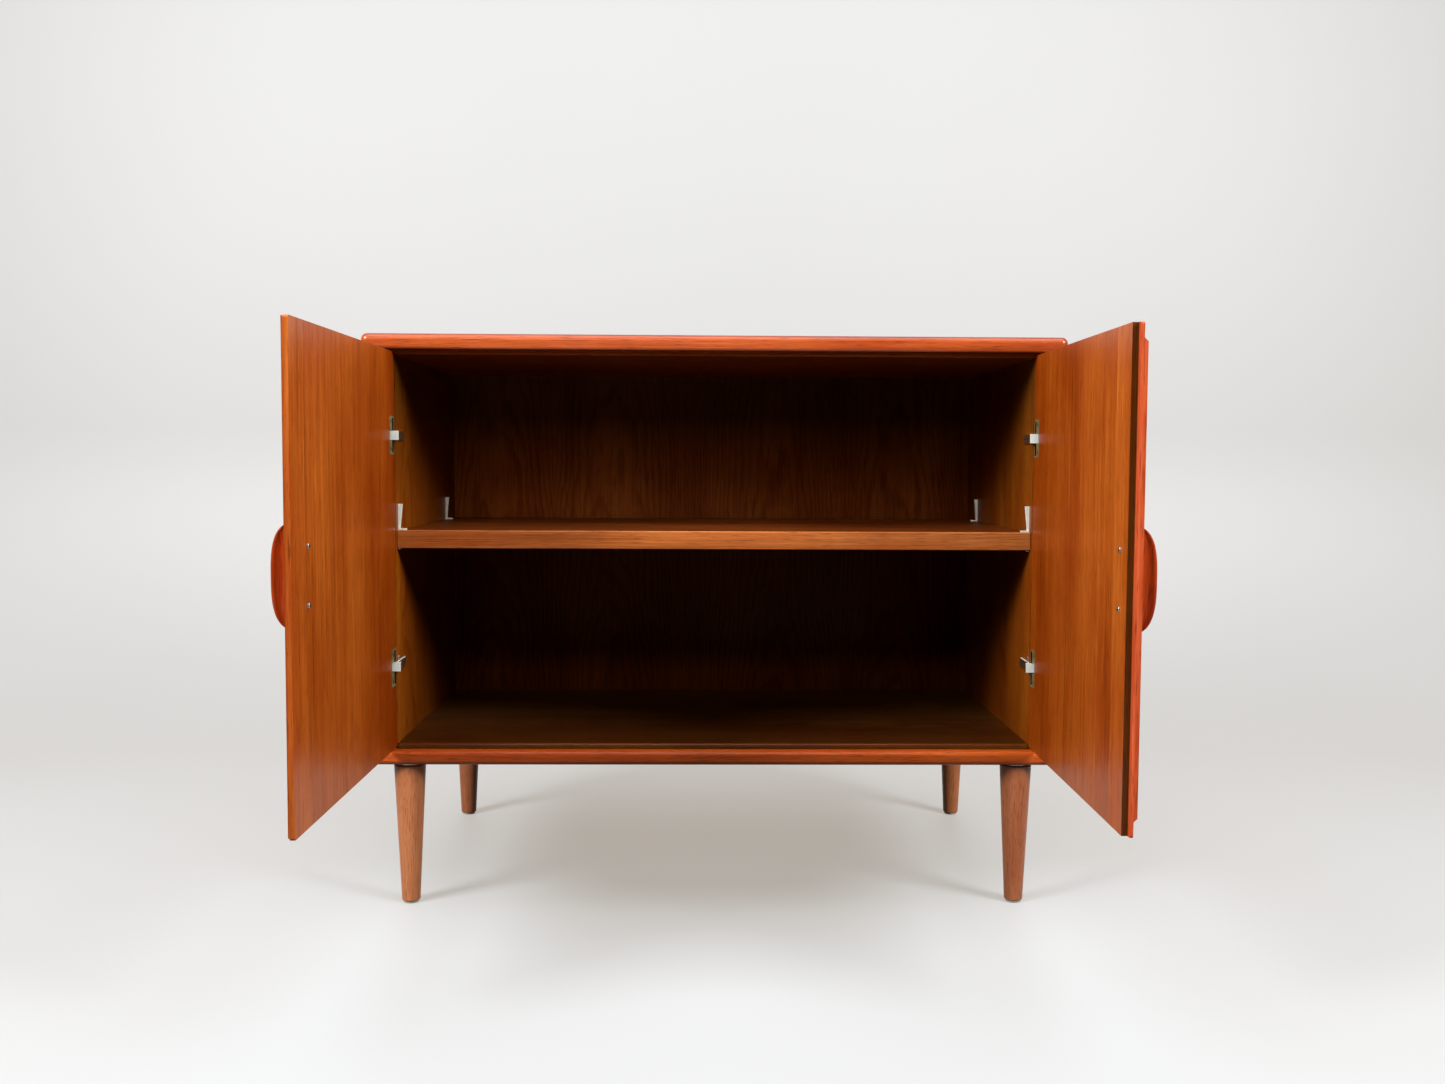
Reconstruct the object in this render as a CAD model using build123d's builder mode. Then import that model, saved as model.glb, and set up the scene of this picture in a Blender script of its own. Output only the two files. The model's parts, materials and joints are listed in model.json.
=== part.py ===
"""Cabinet stand with two hinged doors, one shelf and four turned legs.

Millimetres, +Z up. The front faces -Y. The origin lies on the floor, in the middle of the
ground that the cabinet covers with both doors open, on the cabinet's centre plane X = 0.
"""
from build123d import *
import os

os.makedirs("parts", exist_ok=True)

# ---------------------------------------------------------------- driving dimensions
WIDTH = 960.0
DEPTH = 536.0
BODY_HEIGHT = 589.0
LEG_HEIGHT = 200.0

EDGE_DEPTH = 23.0          # solid edging round the top, the stiles and the front rail
TOP_EDGE_HEIGHT = 22.0
RAIL_HEIGHT = 19.0
STILE_WIDTH = 22.5
STOP_DEPTH = 18.0          # front plane to the plane the closed doors stop against
STOP_RISE = 7.0            # how far the floor's stop stands past the rail
TOP_STOP_RISE = 5.0
WALL_INSET = 42.0          # end of the cabinet to the inner face of its wall
LINING_FRONT = 21.8        # front edge of the inner lining, behind the front plane
BACK_FACE = 464.0          # inner face of the back panel, behind the front plane
BACK_THICKNESS = 8.0

SHELF_FRONT = 25.6
SHELF_TOP = 321.6          # above the underside of the body
SHELF_THICKNESS = 19.0
SHELF_EDGE_HEIGHT = 25.0
SHELF_EDGE_DEPTH = 8.0
SHELF_BACK = 455.0
SHELF_END_GAP = 0.8

DOOR_BOTTOM = 22.8         # above the underside of the body
DOOR_TOP = 564.8
DOOR_BASE = 10.0           # thickness of the flat door board
DOOR_FIELD = 4.0           # thickness of the raised field on its outside
DOOR_HINGE_INSET = 24.5    # end of the cabinet to the closed door's hinge edge
LEFT_DOOR_WIDTH = 464.5
RIGHT_DOOR_WIDTH = 445.5
DOOR_STILE_WIDTH = 52.5
TONGUE_WIDTH = 9.3         # left door: thin tongue behind the right door's lip
TONGUE_THICKNESS = 5.6
LIP_WIDTH = 9.5            # right door: lip over the left door's tongue
LIP_START = 6.4
FIELD_CHAMFER = 3.9
FIELD_HINGE_BORDER = 4.0
FIELD_TOP = 548.0
FIELD_BOTTOM = 40.0
LEFT_FIELD_WIDTH = 440.5

PIVOT_ALONG = 8.25         # hinge axis from the door's hinge edge
PIVOT_DEEP = 9.25          # hinge axis from the door's inner face
LEFT_OPEN_ANGLE = 90.25
RIGHT_OPEN_ANGLE = 88.6
HINGE_HEIGHTS = {"lower": 135.0, "upper": 451.5}

HANDLE_HALF_HEIGHT = 57.5
HANDLE_REACH = 25.0
HANDLE_WIDTH = 23.0
HANDLE_CENTRES = {"left": 404.0, "right": 418.0}
HANDLE_SCREW_SPACING = 64.0

LEG_X = 424.0
LEG_FRONT = 32.0
LEG_TOP_RADIUS = 21.8
LEG_FOOT_RADIUS = 12.7
LEG_PLATE_RADIUS = 17.0
LEG_PLATE_THICKNESS = 4.0
GLIDE_THICKNESS = 3.0

CLIP_FRONT = 38.0
CLIP_BACK = 385.0

# ---------------------------------------------------------------- places that follow
HALF = WIDTH / 2
BASE_Z = LEG_HEIGHT
TOP_Z = BASE_Z + BODY_HEIGHT
OPEN_DOOR_REACH = LEFT_DOOR_WIDTH - PIVOT_ALONG - (STOP_DEPTH - PIVOT_DEEP)
FRONT_Y = -(DEPTH - OPEN_DOOR_REACH) / 2
BACK_Y = FRONT_Y + DEPTH
WALL_X = HALF - WALL_INSET
STOP_Y = FRONT_Y + STOP_DEPTH
CEILING_Z = TOP_Z - TOP_EDGE_HEIGHT - TOP_STOP_RISE
FLOOR_Z = BASE_Z + RAIL_HEIGHT + STOP_RISE + 0.5
PIVOT_X = HALF - DOOR_HINGE_INSET - PIVOT_ALONG
PIVOT_Y = STOP_Y - PIVOT_DEEP
LEFT, RIGHT = -1, 1
SIDES = {"left": LEFT, "right": RIGHT}


def save(piece, name):
    """Label a finished piece and write it as its own STEP file."""
    piece.label = name
    export_step(piece, f"parts/{name}.step")


def block(x, y, z):
    """A box between three pairs of limits, in the context that is open."""
    centre = ((x[0] + x[1]) / 2, (y[0] + y[1]) / 2, (z[0] + z[1]) / 2)
    with Locations(centre):
        Box(x[1] - x[0], y[1] - y[0], z[1] - z[0])


def bore(start, direction, radius, length):
    """Cut a round blind hole from a point along a direction."""
    with BuildSketch(Plane(origin=start, z_dir=direction)) as mouth:
        Circle(radius)
    extrude(mouth.sketch, amount=length, mode=Mode.SUBTRACT)


def rod(start, direction, radius, length):
    """Add a round rod from a point along a direction."""
    with BuildSketch(Plane(origin=start, z_dir=direction)) as end:
        Circle(radius)
    extrude(end.sketch, amount=length)


def flat_screw(head_point, direction, shank_radius, length, head_radius, head_height):
    """Add a countersunk screw whose head is flush at head_point."""
    with BuildSketch(Plane(origin=head_point, z_dir=direction)) as head:
        Circle(head_radius)
    end = Vector(*head_point) + Vector(*direction) * head_height
    with BuildSketch(Plane(origin=end, z_dir=direction)) as neck:
        Circle(shank_radius)
    loft(sections=[head.sketch.face(), neck.sketch.face()])
    rod(tuple(end), direction, shank_radius, length - head_height)


# ---------------------------------------------------------------- carcass dowels
DOWEL_RADIUS = 4.0
DOWEL_CLEARANCE = 0.1
DOWEL_YS = [FRONT_Y + share * DEPTH for share in (0.16, 0.5, 0.84)]
FLAT_DOWEL_Z = BASE_Z + 13.0
FLAT_DOWEL_LENGTH = 34.0
FLAT_DOWEL_OUTER_X = HALF - 7.5
UPRIGHT_DOWEL_X = HALF - STILE_WIDTH / 2
UPRIGHT_DOWEL_Z = TOP_Z - TOP_EDGE_HEIGHT - 18.0
UPRIGHT_DOWEL_LENGTH = 31.0


def dowel_holes():
    """Cut every dowel's hole from the part that is open."""
    radius = DOWEL_RADIUS + DOWEL_CLEARANCE
    for side in (LEFT, RIGHT):
        for y in DOWEL_YS:
            start = (side * FLAT_DOWEL_OUTER_X, y, FLAT_DOWEL_Z)
            bore(start, (-side, 0, 0), radius, FLAT_DOWEL_LENGTH)
            upright = (side * UPRIGHT_DOWEL_X, y, UPRIGHT_DOWEL_Z)
            bore(upright, (0, 0, 1), radius, UPRIGHT_DOWEL_LENGTH)


with BuildPart() as carcass_dowels:
    for dowel_side in (LEFT, RIGHT):
        for dowel_y in DOWEL_YS:
            rod((dowel_side * FLAT_DOWEL_OUTER_X, dowel_y, FLAT_DOWEL_Z),
                (-dowel_side, 0, 0), DOWEL_RADIUS, FLAT_DOWEL_LENGTH)
            rod((dowel_side * UPRIGHT_DOWEL_X, dowel_y, UPRIGHT_DOWEL_Z),
                (0, 0, 1), DOWEL_RADIUS, UPRIGHT_DOWEL_LENGTH)
save(carcass_dowels.part, "carcass_dowels")

# ---------------------------------------------------------------- top
# A solid edging with mitred corners runs round the veneered top board.
TOP_CORNER_ROUND = 9.5
TOP_UPPER_ROUND = 8.5
TOP_LOWER_ROUND = 5.0
MIDDLE_Y = (FRONT_Y + BACK_Y) / 2

with BuildPart() as top_ring:
    with BuildSketch(Plane.XY.offset(TOP_Z - TOP_EDGE_HEIGHT)):
        with Locations((0, MIDDLE_Y)):
            RectangleRounded(WIDTH, DEPTH, TOP_CORNER_ROUND)
    extrude(amount=TOP_EDGE_HEIGHT)
    fillet(top_ring.faces().sort_by(Axis.Z)[-1].edges(), TOP_UPPER_ROUND)
    fillet(top_ring.faces().sort_by(Axis.Z)[0].edges(), TOP_LOWER_ROUND)
    with BuildSketch(Plane.XY.offset(TOP_Z - TOP_EDGE_HEIGHT)):
        with Locations((0, MIDDLE_Y)):
            Rectangle(WIDTH - 2 * EDGE_DEPTH, DEPTH - 2 * EDGE_DEPTH)
    extrude(amount=TOP_EDGE_HEIGHT, mode=Mode.SUBTRACT)
    dowel_holes()

RING_INNER_X = HALF - EDGE_DEPTH
RING_FRONT_Y = FRONT_Y + EDGE_DEPTH
RING_BACK_Y = BACK_Y - EDGE_DEPTH
MITRES = {
    "top_front_edge": [(-HALF, FRONT_Y), (HALF, FRONT_Y),
                       (RING_INNER_X, RING_FRONT_Y), (-RING_INNER_X, RING_FRONT_Y)],
    "top_back_edge": [(-HALF, BACK_Y), (-RING_INNER_X, RING_BACK_Y),
                      (RING_INNER_X, RING_BACK_Y), (HALF, BACK_Y)],
    "top_left_edge": [(-HALF, FRONT_Y), (-RING_INNER_X, RING_FRONT_Y),
                      (-RING_INNER_X, RING_BACK_Y), (-HALF, BACK_Y)],
    "top_right_edge": [(HALF, FRONT_Y), (HALF, BACK_Y),
                       (RING_INNER_X, RING_BACK_Y), (RING_INNER_X, RING_FRONT_Y)],
}
for edge_name, corners in MITRES.items():
    with BuildPart() as mitred_length:
        with BuildSketch(Plane.XY.offset(TOP_Z - TOP_EDGE_HEIGHT)):
            with BuildLine():
                Polyline(*corners, close=True)
            make_face()
        extrude(amount=TOP_EDGE_HEIGHT)
    save(top_ring.part & mitred_length.part, edge_name)

with BuildPart() as top_panel:
    block((-RING_INNER_X, RING_INNER_X), (RING_FRONT_Y, RING_BACK_Y), (CEILING_Z, TOP_Z))
save(top_panel.part, "top_panel")

# ---------------------------------------------------------------- door stops
# Rounded noses behind the door line, cut back at both ends where the doors swing.
NOSE_ROUND = 2.6
NOSE_RELIEF_X = WALL_X - 1.0


def stop_nose(z, rounded_side):
    """A stop strip between two heights; rounded_side picks its lit lower or upper edge."""
    with BuildPart() as nose:
        block((-NOSE_RELIEF_X, NOSE_RELIEF_X), (STOP_Y, FRONT_Y + EDGE_DEPTH), z)
        front_edges = nose.edges().filter_by(Axis.X).group_by(Axis.Y)[0]
        fillet(front_edges.sort_by(Axis.Z)[rounded_side], NOSE_ROUND)
        for side in (LEFT, RIGHT):
            ends = sorted((side * NOSE_RELIEF_X, side * (HALF - STILE_WIDTH)))
            block(ends, (FRONT_Y + LINING_FRONT, FRONT_Y + EDGE_DEPTH), z)
    return nose.part


save(stop_nose((CEILING_Z, TOP_Z - TOP_EDGE_HEIGHT), 0), "top_stop_nose")
save(stop_nose((BASE_Z + RAIL_HEIGHT, FLOOR_Z), -1), "floor_nose")

# ---------------------------------------------------------------- bottom
RAIL_LOWER_ROUND = 6.5
RAIL_UPPER_ROUND = 6.0

with BuildPart() as bottom_front_rail:
    with BuildSketch(Plane.XZ.offset(-FRONT_Y)):
        with BuildLine():
            Polyline((-HALF, BASE_Z), (HALF, BASE_Z),
                     (HALF - STILE_WIDTH, BASE_Z + RAIL_HEIGHT),
                     (-HALF + STILE_WIDTH, BASE_Z + RAIL_HEIGHT), close=True)
        make_face()
    extrude(amount=-EDGE_DEPTH)
    rail_fronts = bottom_front_rail.edges().filter_by(Axis.X).group_by(Axis.Y)[0]
    fillet(rail_fronts.sort_by(Axis.Z)[0], RAIL_LOWER_ROUND)
    rail_fronts = bottom_front_rail.edges().filter_by(Axis.X).group_by(Axis.Y)[0]
    fillet(rail_fronts.sort_by(Axis.Z)[-1], RAIL_UPPER_ROUND)
save(bottom_front_rail.part, "bottom_front_rail")

HANGER_BOLT_RADIUS = 4.0
HANGER_BOLT_ABOVE = 20.0
HANGER_BOLT_BELOW = 34.0
PLATE_SCREW_CIRCLE = 11.0
PLATE_SCREW_RADIUS = 1.6
PLATE_SCREW_LENGTH = 16.0
SCREW_CLEARANCE = 0.1
LEG_PLACES = {
    "front_left": (-LEG_X, FRONT_Y + LEG_FRONT),
    "front_right": (LEG_X, FRONT_Y + LEG_FRONT),
    "back_left": (-LEG_X, BACK_Y - LEG_FRONT),
    "back_right": (LEG_X, BACK_Y - LEG_FRONT),
}
PLATE_SCREW_TURNS = (90, 210, 330)


def plate_screw_points(place):
    """The three screw centres of one leg plate, seen from above."""
    return [Vector(*place) + Vector(PLATE_SCREW_CIRCLE, 0).rotate(Axis.Z, turn)
            for turn in PLATE_SCREW_TURNS]


with BuildPart() as bottom_panel:
    block((-HALF + STILE_WIDTH, HALF - STILE_WIDTH), (FRONT_Y + EDGE_DEPTH, BACK_Y),
          (BASE_Z, FLOOR_Z))
    dowel_holes()
    for leg_place in LEG_PLACES.values():
        bore((*leg_place, BASE_Z), (0, 0, 1), HANGER_BOLT_RADIUS + SCREW_CLEARANCE,
             HANGER_BOLT_ABOVE)
        for point in plate_screw_points(leg_place):
            bore((point.X, point.Y, BASE_Z), (0, 0, 1), PLATE_SCREW_RADIUS + SCREW_CLEARANCE,
                 PLATE_SCREW_LENGTH)

# ---------------------------------------------------------------- sides
STILE_OUTER_ROUND = 4.5
STILE_INNER_ROUND = 3.0
HINGE_ARM_HALF = 6.25
ARM_SCREW_YS = (FRONT_Y + 44.0, FRONT_Y + 58.0)
ARM_SCREW_RADIUS = 1.6
ARM_SCREW_LENGTH = 18.0
GUARD_SCREW_Y = FRONT_Y + 30.0
GUARD_SCREW_RISE = 10.2
GUARD_SCREW_RADIUS = 1.6
GUARD_SCREW_LENGTH = 12.0
CLIP_PIN_RADIUS = 2.5
CLIP_PIN_LENGTH = 9.0
CLIP_PIN_DROP = 5.0
CLIP_YS = {"front": FRONT_Y + CLIP_FRONT, "back": FRONT_Y + CLIP_BACK}
CLIP_PIN_Z = BASE_Z + SHELF_TOP - SHELF_THICKNESS - CLIP_PIN_DROP
BACK_SCREW_ZS = [BASE_Z + height for height in (50, 170, 295, 420, 540)]
BACK_SCREW_X = WALL_X + 10.0
BACK_SCREW_RADIUS = 1.6
BACK_SCREW_LENGTH = 26.0
BACK_SCREW_HEAD = 3.4

for side_name, side in SIDES.items():
    with BuildPart() as side_panel:
        block(sorted((side * HALF, side * (HALF - STILE_WIDTH))),
              (FRONT_Y + EDGE_DEPTH, BACK_Y), (BASE_Z, TOP_Z - TOP_EDGE_HEIGHT))
        dowel_holes()
    save(side_panel.part, f"{side_name}_side_panel")

    with BuildPart() as front_stile:
        with BuildSketch(Plane.XZ.offset(-FRONT_Y)):
            with BuildLine():
                Polyline((side * HALF, BASE_Z),
                         (side * HALF, TOP_Z - TOP_EDGE_HEIGHT),
                         (side * (HALF - STILE_WIDTH), TOP_Z - TOP_EDGE_HEIGHT),
                         (side * (HALF - STILE_WIDTH), BASE_Z + RAIL_HEIGHT), close=True)
            make_face()
        extrude(amount=-EDGE_DEPTH)
        uprights = front_stile.edges().filter_by(Axis.Z).group_by(Axis.Y)[0].sort_by(Axis.X)
        outer, inner = (uprights[0], uprights[-1]) if side == LEFT else (uprights[-1], uprights[0])
        fillet(outer, STILE_OUTER_ROUND)
        uprights = front_stile.edges().filter_by(Axis.Z).group_by(Axis.Y)[0].sort_by(Axis.X)
        inner = uprights[-1] if side == LEFT else uprights[0]
        fillet(inner, STILE_INNER_ROUND)
    save(front_stile.part, f"{side_name}_front_stile")

    with BuildPart() as side_lining:
        block(sorted((side * (HALF - STILE_WIDTH), side * WALL_X)),
              (FRONT_Y + EDGE_DEPTH, FRONT_Y + BACK_FACE), (FLOOR_Z, CEILING_Z))
        block(sorted((side * (HALF - STILE_WIDTH), side * WALL_X)),
              (FRONT_Y + LINING_FRONT, FRONT_Y + EDGE_DEPTH), (FLOOR_Z, CEILING_Z))
        for hinge_height in HINGE_HEIGHTS.values():
            for screw_y in ARM_SCREW_YS:
                bore((side * WALL_X, screw_y, BASE_Z + hinge_height), (side, 0, 0),
                     ARM_SCREW_RADIUS + SCREW_CLEARANCE, ARM_SCREW_LENGTH)
        bore((side * WALL_X, GUARD_SCREW_Y, BASE_Z + HINGE_HEIGHTS["lower"] + GUARD_SCREW_RISE),
             (side, 0, 0), GUARD_SCREW_RADIUS + SCREW_CLEARANCE, GUARD_SCREW_LENGTH)
        for clip_y in CLIP_YS.values():
            bore((side * WALL_X, clip_y, CLIP_PIN_Z), (side, 0, 0),
                 CLIP_PIN_RADIUS + SCREW_CLEARANCE, CLIP_PIN_LENGTH + 1.0)
        for screw_z in BACK_SCREW_ZS:
            bore((side * BACK_SCREW_X, FRONT_Y + BACK_FACE, screw_z), (0, -1, 0),
                 BACK_SCREW_RADIUS + SCREW_CLEARANCE, BACK_SCREW_LENGTH)
    save(side_lining.part, f"{side_name}_side_lining")

# ---------------------------------------------------------------- back
CLEAT_SIZE = 16.0

with BuildPart() as back_panel:
    block((-HALF + STILE_WIDTH, HALF - STILE_WIDTH),
          (FRONT_Y + BACK_FACE, FRONT_Y + BACK_FACE + BACK_THICKNESS), (FLOOR_Z, CEILING_Z))
    for side in (LEFT, RIGHT):
        for screw_z in BACK_SCREW_ZS:
            with Locations(Plane(origin=(side * BACK_SCREW_X, FRONT_Y + BACK_FACE + BACK_THICKNESS,
                                         screw_z), z_dir=(0, 1, 0))):
                CounterSinkHole(BACK_SCREW_RADIUS + SCREW_CLEARANCE,
                                BACK_SCREW_HEAD + SCREW_CLEARANCE, counter_sink_angle=90)
save(back_panel.part, "back_panel")

with BuildPart() as back_panel_screws:
    for side in (LEFT, RIGHT):
        for screw_z in BACK_SCREW_ZS:
            flat_screw((side * BACK_SCREW_X, FRONT_Y + BACK_FACE + BACK_THICKNESS, screw_z),
                       (0, -1, 0), BACK_SCREW_RADIUS, BACK_SCREW_LENGTH, BACK_SCREW_HEAD,
                       BACK_SCREW_HEAD - BACK_SCREW_RADIUS)
save(back_panel_screws.part, "back_panel_screws")

# Square cleats hold the back panel at the floor and at the ceiling, from behind.
for cleat_name, cleat_z in (("back_floor_cleat", (FLOOR_Z, FLOOR_Z + CLEAT_SIZE)),
                            ("back_ceiling_cleat", (CEILING_Z - CLEAT_SIZE, CEILING_Z))):
    with BuildPart() as back_cleat:
        cleat_front = FRONT_Y + BACK_FACE + BACK_THICKNESS
        block((-HALF + STILE_WIDTH, HALF - STILE_WIDTH), (cleat_front, cleat_front + CLEAT_SIZE),
              cleat_z)
        chamfer(back_cleat.edges().filter_by(Axis.X).group_by(Axis.Y)[-1], 2.0)
    save(back_cleat.part, cleat_name)

save(bottom_panel.part, "bottom_panel")

# ---------------------------------------------------------------- shelf
CLIP_HALF_LENGTH = 3.2
CLIP_WEB = 1.8
CLIP_SLACK = 0.3
SHELF_X = WALL_X - SHELF_END_GAP
SHELF_Z = BASE_Z + SHELF_TOP
SHELF_JOINT_Y = FRONT_Y + SHELF_FRONT + SHELF_EDGE_DEPTH

with BuildPart() as shelf_panel:
    block((-SHELF_X, SHELF_X), (SHELF_JOINT_Y, FRONT_Y + SHELF_BACK),
          (SHELF_Z - SHELF_THICKNESS, SHELF_Z))
    for side in (LEFT, RIGHT):
        for clip_y in CLIP_YS.values():
            notch_x = sorted((side * WALL_X, side * (WALL_X - CLIP_WEB - CLIP_SLACK)))
            notch_y = (clip_y - CLIP_HALF_LENGTH - CLIP_SLACK,
                       clip_y + CLIP_HALF_LENGTH + CLIP_SLACK)
            with Locations(((notch_x[0] + notch_x[1]) / 2, clip_y, SHELF_Z - SHELF_THICKNESS / 2)):
                Box(notch_x[1] - notch_x[0], notch_y[1] - notch_y[0], SHELF_THICKNESS,
                    mode=Mode.SUBTRACT)
save(shelf_panel.part, "shelf_panel")

with BuildPart() as shelf_front_edge:
    block((-SHELF_X, SHELF_X), (FRONT_Y + SHELF_FRONT, SHELF_JOINT_Y),
          (SHELF_Z - SHELF_EDGE_HEIGHT, SHELF_Z))
    fillet(shelf_front_edge.edges().filter_by(Axis.X).group_by(Axis.Y)[0], 1.5)
save(shelf_front_edge.part, "shelf_front_edge")

# Moulded clips: a pin in the wall, a ledge under the shelf, a web through the shelf's notch,
# a foot on top of it and a tapering tongue that stands against the wall.
CLIP_TONGUE_HEIGHT = 36.0
CLIP_TONGUE_TOP = 5.2
CLIP_FOOT_LENGTH = 11.0
CLIP_FOOT_HEIGHT = 2.2
CLIP_LEDGE_LENGTH = 12.0
CLIP_LEDGE_HEIGHT = 8.0


def shelf_clip(side, clip_y):
    """One clip on the wall of the given side."""
    ledge_top = SHELF_Z - SHELF_THICKNESS
    with BuildPart() as clip:
        with BuildSketch(Plane.XZ.offset(-(clip_y - CLIP_HALF_LENGTH))):
            with BuildLine():
                Polyline((side * WALL_X, ledge_top - CLIP_LEDGE_HEIGHT),
                         (side * WALL_X, SHELF_Z + CLIP_TONGUE_HEIGHT),
                         (side * (WALL_X - CLIP_TONGUE_TOP), SHELF_Z + CLIP_TONGUE_HEIGHT),
                         (side * (WALL_X - CLIP_WEB), SHELF_Z + CLIP_FOOT_HEIGHT),
                         (side * (WALL_X - CLIP_FOOT_LENGTH), SHELF_Z + CLIP_FOOT_HEIGHT),
                         (side * (WALL_X - CLIP_FOOT_LENGTH), SHELF_Z),
                         (side * (WALL_X - CLIP_WEB), SHELF_Z),
                         (side * (WALL_X - CLIP_WEB), ledge_top),
                         (side * (WALL_X - CLIP_LEDGE_LENGTH), ledge_top),
                         (side * (WALL_X - CLIP_LEDGE_LENGTH), ledge_top - 2.0),
                         (side * (WALL_X - CLIP_WEB), ledge_top - CLIP_LEDGE_HEIGHT), close=True)
            make_face()
        extrude(amount=-2 * CLIP_HALF_LENGTH)
        rod((side * WALL_X, clip_y, CLIP_PIN_Z), (side, 0, 0), CLIP_PIN_RADIUS, CLIP_PIN_LENGTH)
    return clip.part


for side_name, side in SIDES.items():
    for place_name, clip_y in CLIP_YS.items():
        save(shelf_clip(side, clip_y), f"shelf_clip_{place_name}_{side_name}")

# ---------------------------------------------------------------- legs
LEG_TOP_Z = BASE_Z - LEG_PLATE_THICKNESS

for leg_name, (leg_x, leg_y) in LEG_PLACES.items():
    with BuildPart() as leg:
        with BuildSketch(Plane(origin=(leg_x, leg_y, GLIDE_THICKNESS), x_dir=(1, 0, 0),
                               z_dir=(0, -1, 0))):
            with BuildLine():
                Polyline((0, 0), (LEG_FOOT_RADIUS - 1.2, 0), (LEG_FOOT_RADIUS, 1.2),
                         (LEG_TOP_RADIUS, LEG_TOP_Z - GLIDE_THICKNESS - 1.0),
                         (LEG_TOP_RADIUS - 1.0, LEG_TOP_Z - GLIDE_THICKNESS),
                         (0, LEG_TOP_Z - GLIDE_THICKNESS), close=True)
            make_face()
        revolve(axis=Axis((leg_x, leg_y, 0), (0, 0, 1)))
        bore((leg_x, leg_y, LEG_TOP_Z), (0, 0, -1), HANGER_BOLT_RADIUS + SCREW_CLEARANCE,
             HANGER_BOLT_BELOW)
    save(leg.part, f"leg_{leg_name}")

with BuildPart() as leg_plates:
    for leg_place in LEG_PLACES.values():
        rod((*leg_place, LEG_TOP_Z), (0, 0, 1), LEG_PLATE_RADIUS, LEG_PLATE_THICKNESS)
        bore((*leg_place, LEG_TOP_Z), (0, 0, 1), HANGER_BOLT_RADIUS + SCREW_CLEARANCE,
             LEG_PLATE_THICKNESS)
        for point in plate_screw_points(leg_place):
            bore((point.X, point.Y, LEG_TOP_Z), (0, 0, 1), PLATE_SCREW_RADIUS + SCREW_CLEARANCE,
                 LEG_PLATE_THICKNESS)
save(leg_plates.part, "leg_plates")

with BuildPart() as leg_plate_screws:
    for leg_place in LEG_PLACES.values():
        for point in plate_screw_points(leg_place):
            rod((point.X, point.Y, LEG_TOP_Z), (0, 0, 1), PLATE_SCREW_RADIUS,
                PLATE_SCREW_LENGTH + LEG_PLATE_THICKNESS - 0.5)
save(leg_plate_screws.part, "leg_plate_screws")

with BuildPart() as leg_bolts:
    for leg_place in LEG_PLACES.values():
        rod((*leg_place, LEG_TOP_Z - HANGER_BOLT_BELOW + 1.0), (0, 0, 1), HANGER_BOLT_RADIUS,
            HANGER_BOLT_BELOW + HANGER_BOLT_ABOVE)
save(leg_bolts.part, "leg_bolts")

with BuildPart() as leg_glides:
    for leg_place in LEG_PLACES.values():
        rod((*leg_place, 0), (0, 0, 1), LEG_FOOT_RADIUS - 2.0, GLIDE_THICKNESS)
    chamfer(leg_glides.faces().group_by(Axis.Z)[0].edges(), 0.8)
save(leg_glides.part, "leg_glides")

# ---------------------------------------------------------------- hinges
# Each arm is fixed to the wall and reaches through the window of the cup in the door, to a
# knuckle on the hinge pin. The pin stands in the cup.
ARM_BASE_THICKNESS = 2.5
ARM_PROUD = 8.0
ARM_STRAP = (1.3, 3.1)     # the strap's two faces, in from the wall
ARM_BLOCK_DEPTH = 4.5
ARM_FRONT_Y = FRONT_Y + 7.5
ARM_NOSE_THICKNESS = 2.9
ARM_STRAP_BACK_Y = FRONT_Y + 32.0
ARM_BASE_Y = (FRONT_Y + 24.0, FRONT_Y + 66.0)
KNUCKLE_RADIUS = 2.7
PIN_RADIUS = 1.3
PIN_CLEARANCE = 0.05
CUP_HALF = 9.4
CUP_WALL = 0.6
CUP_INSIDE = (3.6, 26.2)
CUP_DEPTH = 12.2
CUP_SLACK = 0.15
PLATE_HALF_LENGTH = 26.0
PLATE_ALONG = (2.0, 28.2)
PLATE_THICKNESS = 1.6
PLATE_CORNER = 4.0
WINDOW_HALF = 6.9
TRENCH_ALONG = (3.6, 13.4)  # long groove beside the window, over most of the plate
TRENCH_HALF = 23.4
TRENCH_DEPTH = 4.6
CUP_SCREW_ALONG = 20.6
CUP_SCREW_RISE = 18.5
CUP_SCREW_RADIUS = 1.5
CUP_SCREW_LENGTH = 9.0
CUP_SCREW_HEAD = 2.9


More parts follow.
